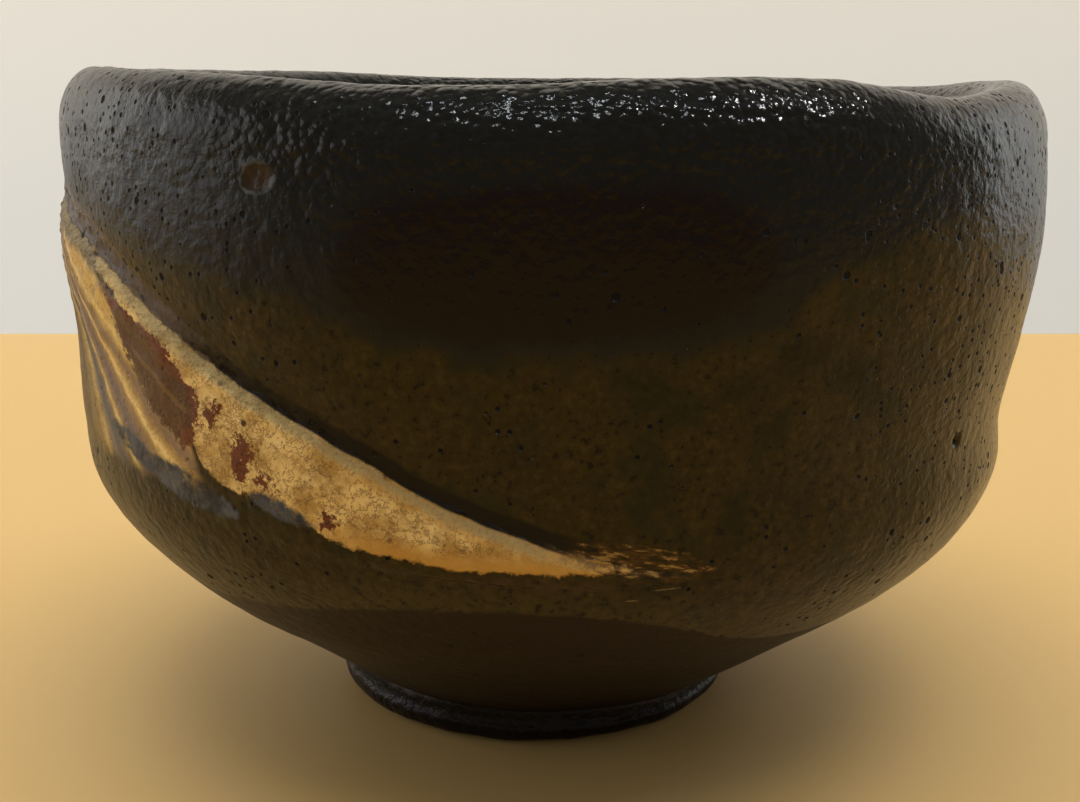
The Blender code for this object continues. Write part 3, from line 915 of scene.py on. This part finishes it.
def foot_glaze_material():
    """Nearly black, with a duller grey band under the joint that is strongest at the two sides: partly the
    lumpy joint's own grey and partly a painted sheen.
    """
    s = Shader("foot_dark_glaze")
    wide = s.noise(7, 3, shift=1.0)
    fine = s.noise(0.8, 3, shift=2.0)
    colour = s.mix(wide, (0.002, 0.001, 0.0008), (0.0065, 0.0036, 0.0026))
    lumps = s.noise(2.2, 4, shift=3.0, rough=0.65)
    level = s.plus(s.place_along(HEIGHT), s.times(s.place_along(ACROSS), -JOINT_SLOPE))
    level = s.plus(level, s.times(s.centred(lumps), 4.0))
    # The grey band is partly the joint's own grey and partly a painted sheen, strongest at the two sides.
    sides = s.step(s.absolute(s.minus(s.place_along(ACROSS), FOOT_CENTRE_X / MM)), 8.0, 17.0)
    band = s.times(s.step(level, 3.6, 4.6), s.blend(sides, 0.03, 0.9))
    colour = s.mix(band, colour, s.mix(fine, (0.024, 0.019, 0.019), (0.11, 0.095, 0.09)))
    s.bump(s.plus(s.times(fine, 0.5), lumps), 0.00045)
    s.surface.inputs["Specular IOR Level"].default_value = GLAZE_SPECULAR
    return s.finish(colour, s.blend(band, s.blend(wide, 0.3, 0.42), 0.6))


# ---------------- fields that the glaze is painted by


def arc_mm(angles):
    """Millimetres round the wall from the bowl's front, rising to the right."""
    turn = (np.degrees(angles) - 270.0 + 180.0) % 360.0 - 180.0
    return np.radians(turn) * WALL_RADIUS_MM


def strokes(arc, heights, drawn):
    """How far inside the nearest of some tapering brush strokes each point is, in millimetres."""
    nearest = np.full(heights.shape, OUTSIDE)
    for (start_arc, start_height), (end_arc, end_height), half_width in drawn:
        run, rise = end_arc - start_arc, end_height - start_height
        along = ((arc - start_arc) * run + (heights - start_height) * rise) / (run * run + rise * rise)
        along = np.clip(along, 0, 1)
        away = np.hypot(arc - start_arc - along * run, heights - start_height - along * rise)
        taper = np.sqrt(np.sin(math.pi * np.clip(along, 0.02, 0.98)))
        nearest = np.maximum(nearest, half_width * taper - away)
    return nearest


def wall_fields(grid, angles, crest, facet_foot):
    """Everything the glaze's colours depend on, at each front point, in millimetres."""
    heights = grid[..., 2] / MM
    below = crest / MM - heights
    arc = np.broadcast_to(arc_mm(angles), heights.shape)
    strength = np.broadcast_to(slash_strength(angles), heights.shape)
    cut = strength > 0.02
    lower = edge_at(arc, CREAM_LOWER_EDGE)
    cream = np.minimum(heights - lower, below + 0.3)
    cream = np.minimum(cream, TIP_TAPER * (TIP_ARC - arc))
    cream = np.where(cut, cream, OUTSIDE)
    rust_right = edge_at(heights, RUST_RIGHT) - arc
    rust_left = arc - edge_at(heights, RUST_LEFT)
    rust = np.minimum(np.minimum(rust_right, rust_left), heights - RUST_LOWEST)
    for spot_arc, spot_height, wide, tall in RUST_SPOTS:
        away = np.hypot((arc - spot_arc) / wide, (heights - spot_height) / tall)
        rust = np.maximum(rust, (1 - away) * min(wide, tall))
    fan = np.degrees(np.arctan2(arc - FAN_ARC, FAN_HEIGHT - heights))
    fan_zone = np.minimum(lower - heights, heights - np.maximum(facet_foot / MM + 0.5, FAN_LOWEST))
    fan_zone = np.minimum(fan_zone, np.minimum(below - 0.5, FAN_RIGHT_END - arc))
    fan_zone = np.where(cut, np.minimum(fan_zone, 7.0 * (strength - 0.25)), OUTSIDE)
    step = np.hypot(np.diff(arc[0], append=arc[0, -1]), np.diff(crest / MM, append=crest[-1] / MM))
    along = np.broadcast_to(np.cumsum(np.where(step < 2, step, 0)), heights.shape)
    turn = round_curve(angles, TURNING_LINE) / MM
    sides = smoothstep(0.25, 0.85, np.abs(np.cos(angles))) * np.ones_like(heights)
    upper = smoothstep(30, 62, heights)
    return {
        "cream": cream,
        "rust": rust,
        "rust_left": rust_left,
        "rust_right": rust_right,
        "over_olive": heights - round_curve(angles, BLACK_LOWER_EDGE) / MM,
        "slate": strokes(arc, heights, SLATE_STROKES),
        "tail": strokes(arc, heights, [TAIL_STROKE]),
        "dashes": strokes(arc, heights, DASHES),
        "smear": strokes(arc, heights, [SMEAR_STROKE]),
        "fan": fan,
        "fan_zone": fan_zone,
        "below": np.where(cut, below, NO_SLASH),
        "along": along,
        "arc": arc,
        "strength": strength,
        "under_turn": turn - heights,
        "front": smoothstep(0.1, -0.3, np.sin(angles)) * np.ones_like(heights),
        "pinholes": 0.07 + 0.62 * sides * (0.35 + 0.65 * upper),
        "scar": scar_distance(grid) / SCAR_RADIUS,
    }


# ---------------- pieces


def build_wall():
    """The outer glaze and the facet, as two sheets that share their borders."""
    angles = np.arange(WALL_COLUMNS) * 2 * math.pi / WALL_COLUMNS
    smooth = np.concatenate([outside_rows(angles), lip_rows(angles)])
    out = normals_of(smooth)
    back = (smooth - GLAZE_THICKNESS * out)[::BACK_STEP, ::BACK_STEP]
    facet_foot = round_curve(angles, FACET_FOOT_HEIGHTS)
    relief = wall_relief(smooth, angles)
    crest = crest_line(angles)
    below = np.clip(crest - smooth[..., 2], 0, None)
    facet = facet_relief(smooth, angles, below)
    low_row, slash_row = ROWS_BELOW_FACET, ROWS_BELOW_FACET + ROWS_ON_FACET
    first = round(FACET_START / 360 * WALL_COLUMNS)
    last = round(FACET_END / 360 * WALL_COLUMNS)
    fade = np.zeros(smooth.shape[:2])
    rows = np.arange(low_row, slash_row + 1)
    blend = smoothstep(low_row, low_row + FACET_BLEND_ROWS, rows)
    fade[low_row : slash_row + 1, first : last + 1] = blend[:, None]
    front = smooth + (relief + facet * fade)[..., None] * out
    fields = wall_fields(smooth, angles, crest, facet_foot)

    cells = np.ones(((len(front) - 1) // BACK_STEP, WALL_COLUMNS // BACK_STEP), bool)
    top, bottom = low_row // BACK_STEP, slash_row // BACK_STEP
    near, far = first // BACK_STEP, last // BACK_STEP
    cells[top:bottom, near:far] = False
    mesh, used = sheet("glaze_outside", front, back, cells)
    add_fields(mesh, used, fields)
    finished("glaze_outside", mesh, wall_glaze("outside_black_glaze"), "outer_glaze")

    part = (slice(low_row, slash_row + 1), slice(first, last + 1))
    part_back = back[top : bottom + 1, near : far + 1]
    cells = np.ones((ROWS_ON_FACET // BACK_STEP, (last - first) // BACK_STEP), bool)
    mesh, used = sheet("glaze_facet", front[part], part_back, cells, wraps=False)
    add_fields(mesh, used, {name: values[part] for name, values in fields.items()})
    finished("glaze_facet", mesh, wall_glaze("facet_cream_glaze"), "cream_glaze")


def build_inside():
    """The inner glaze, with a little relief that fades out at the lip and at the pool's middle."""
    angles = np.arange(INSIDE_COLUMNS) * 2 * math.pi / INSIDE_COLUMNS
    smooth = inside_rows(angles)
    out = normals_of(smooth)
    relief = 0.12 * MM * noise(smooth, 12 * MM, 41) + 0.03 * MM * noise(smooth, 3 * MM, 42)
    from_edge = smoothstep(0, 6, np.arange(len(smooth)))[:, None]
    from_middle = smoothstep(1 * MM, 6 * MM, np.linalg.norm(smooth[..., :2], axis=-1))
    front = smooth + (relief * from_edge * from_middle)[..., None] * out
    back = (smooth - GLAZE_THICKNESS * out)[::BACK_STEP, ::BACK_STEP]
    cells = np.ones((INSIDE_ROWS // BACK_STEP, INSIDE_COLUMNS // BACK_STEP), bool)
    mesh, _ = sheet("glaze_inside", front, back, cells, capped=True)
    finished("glaze_inside", mesh, inside_glaze(), "inner_glaze")


def foot_rings(radii, heights):
    """Rings of points round the foot, at radii and heights, tilted more the higher they are."""
    angles = np.arange(FOOT_COLUMNS) * 2 * math.pi / FOOT_COLUMNS
    ones = np.ones_like(angles)
    grid = placed(angles, radii[:, None] * ones, heights[:, None] * ones)
    grid[..., 2] += JOINT_SLOPE * grid[..., 0] * grid[..., 2] / FOOT_HEIGHT
    return grid


def build_foot_glaze():
    steps, radii, heights = np.array(FOOT_GLAZE_OUTLINE).T
    at = np.linspace(steps[0], steps[-1], FOOT_ROWS + 1)
    smooth = foot_rings(
        smooth_curve(at, list(zip(steps, radii))),
        smooth_curve(at, list(zip(steps, heights))),
    )
    out = normals_of(smooth)
    relief = 0.16 * MM * noise(smooth, 6 * MM, 51) + 0.05 * MM * noise(smooth, 1.8 * MM, 52)
    front = smooth + relief[..., None] * out
    back = (smooth - FOOT_GLAZE_THICKNESS * out)[::BACK_STEP, ::BACK_STEP]
    front[..., 0] += FOOT_CENTRE_X
    back[..., 0] += FOOT_CENTRE_X
    cells = np.ones((FOOT_ROWS // BACK_STEP, FOOT_COLUMNS // BACK_STEP), bool)
    mesh, _ = sheet("glaze_foot", front, back, cells)
    finished("glaze_foot", mesh, foot_glaze_material(), "foot_glaze")


def squared(wave):
    """A sine or cosine, flattened so that the section it draws is a rounded box."""
    return np.sign(wave) * np.abs(wave) ** RING_ROUNDNESS


def build_foot_ring():
    """The clay ring: a rounded box turned round the foot, with small worn hollows."""
    turn = np.linspace(0, 2 * math.pi, RING_POINTS, endpoint=False)
    middle_radius = (FOOT_INNER_RADIUS + FOOT_OUTER_RADIUS - RING_NARROWING) / 2
    half_width = middle_radius - FOOT_INNER_RADIUS
    radii = middle_radius - half_width * squared(np.cos(turn))
    heights = FOOT_HEIGHT / 2 * (1 - squared(np.sin(turn)))
    ring = foot_rings(radii, heights)
    worn = 0.10 * MM * noise(ring, 4 * MM, 61) + 0.04 * MM * noise(ring, 1 * MM, 62)
    ring[..., 2] += np.abs(worn)
    ring[..., 0] += FOOT_CENTRE_X
    at = np.arange(ring[..., 0].size).reshape(ring.shape[:2])
    following, beside = np.roll(at, -1, axis=0), np.roll(at, -1, axis=1)
    corner = np.roll(following, -1, axis=1)
    faces = np.stack([at, beside, corner, following], axis=-1).reshape(-1, 4)
    mesh = bpy.data.meshes.new("foot_ring_clay")
    mesh.from_pydata(ring.reshape(-1, 3), [], faces.tolist())
    mesh.update()
    clay = bare_clay("foot_clay", (0.085, 0.058, 0.040), (0.050, 0.035, 0.026))
    finished("foot_ring_clay", mesh, clay, "foot_ring")


def dress_clay_body():
    """The clay body stays the CAD node: only its underside shows, inside the foot ring."""
    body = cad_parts["clay_body"]
    body.data.materials.clear()
    body.data.materials.append(bare_clay("body_clay", (0.125, 0.085, 0.058), (0.080, 0.052, 0.036)))


# ---------------- stage, light and camera


def plane(name, corners, material):
    mesh = bpy.data.meshes.new(name)
    mesh.from_pydata(corners, [], [(0, 1, 2, 3)])
    mesh.materials.append(material)
    item = bpy.data.objects.new(name, mesh)
    bpy.context.scene.collection.objects.link(item)


def build_stage():
    """A warm floor that ends behind the bowl, and a pale backdrop beyond its edge."""
    floor = Shader("floor").finish((0.55, 0.365, 0.135), 0.60)
    wall = Shader("backdrop").finish((0.86, 0.85, 0.81), 0.9)
    side, floor_end, wall_at, wall_foot, wall_top = 4.0, 0.25, 0.6, -1.0, 3.0
    plane("floor", [(-side, -side, 0), (side, -side, 0), (side, floor_end, 0), (-side, floor_end, 0)], floor)
    low = [(-side, wall_at, wall_foot), (side, wall_at, wall_foot)]
    high = [(side, wall_at, wall_top), (-side, wall_at, wall_top)]
    plane("backdrop", low + high, wall)


def area_light(name, place, target, size, power, colour, lights_colour=True, lights_gloss=True):
    """A rectangular lamp that doesn't show in the picture. It can light colour, gloss or both."""
    data = bpy.data.lights.new(name, "AREA")
    data.shape = "RECTANGLE"
    data.size, data.size_y = size
    data.energy = power
    data.color = colour
    item = aimed(data, place, target)
    item.visible_camera = False
    item.visible_diffuse = lights_colour
    item.visible_glossy = lights_gloss


def aimed(data, place, target):
    item = bpy.data.objects.new(data.name, data)
    item.location = place
    item.rotation_mode = "QUATERNION"
    item.rotation_quaternion = (Vector(target) - Vector(place)).to_track_quat("-Z", "Y")
    bpy.context.scene.collection.objects.link(item)
    return item


def build_light():
    """Even light from overhead, a pale room all round, and lamps for the highlights."""
    overhead = bpy.data.lights.new("overhead", "SUN")
    overhead.energy = 1.5
    overhead.angle = math.radians(48)
    overhead.color = (1.0, 0.97, 0.92)
    aimed(overhead, (0.07, -0.12, 1.0), (0, 0, 0)).visible_glossy = False
    centre = (0, 0, 0.06)
    white, warm, cool = (1.0, 1.0, 1.0), (1.0, 0.97, 0.92), (0.88, 0.95, 1.0)
    area_light("wall_light", (0, 0.10, 1.0), (0, 0.6, 0.25), (2.4, 0.3), 10.5, warm, lights_gloss=False)
    area_light("wall_foot_light", (0, 0.30, -0.45), (0, 0.6, -0.05), (2.4, 0.2), 1.8, warm)
    area_light("left_window", (-0.95, 0.10, 0.30), centre, (1.00, 0.50), 2.8, white)
    area_light("right_window", (0.88, 0.48, 0.26), centre, (0.40, 0.50), 0.9, cool)
    area_light("right_glint", (0.72, -0.27, 0.90), centre, (0.06, 0.05), 5.0, white, lights_colour=False)
    area_light("front_glint", (-0.05, -0.50, 1.10), centre, (0.40, 0.04), 4.5, cool, lights_colour=False)
    world = bpy.data.worlds.new("room")
    world.use_nodes = True
    bpy.context.scene.world = world
    background = world.node_tree.nodes["Background"]
    background.inputs["Color"].default_value = (1.0, 0.95, 0.86, 1.0)
    background.inputs["Strength"].default_value = 0.30
    bpy.context.scene.view_settings.view_transform = "Standard"


CAMERA_DISTANCE = 0.176
CAMERA_HEIGHT = 0.0788
CAMERA_X = -0.00145
CAMERA_PITCH = math.radians(13.33)
CAMERA_LENS = 45.0
CAMERA_SENSOR = 36.0


def build_camera():
    data = bpy.data.cameras.new("camera")
    data.lens = CAMERA_LENS
    data.sensor_width = CAMERA_SENSOR
    data.clip_start = 0.01
    camera = bpy.data.objects.new("camera", data)
    camera.location = (CAMERA_X, -CAMERA_DISTANCE, CAMERA_HEIGHT)
    camera.rotation_euler = (math.pi / 2 - CAMERA_PITCH, 0.0, 0.0)
    bpy.context.scene.collection.objects.link(camera)
    bpy.context.scene.camera = camera


def corners(box):
    return [list(corner) for corner in box]


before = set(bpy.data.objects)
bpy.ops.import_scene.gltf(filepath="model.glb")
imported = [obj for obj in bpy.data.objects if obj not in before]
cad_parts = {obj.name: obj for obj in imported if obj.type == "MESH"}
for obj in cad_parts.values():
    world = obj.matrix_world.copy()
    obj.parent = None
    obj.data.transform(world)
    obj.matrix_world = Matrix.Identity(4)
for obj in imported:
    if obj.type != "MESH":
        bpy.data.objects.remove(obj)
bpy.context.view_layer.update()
build_wall()
build_inside()
build_foot_glaze()
build_foot_ring()
dress_clay_body()
build_stage()
build_light()
build_camera()
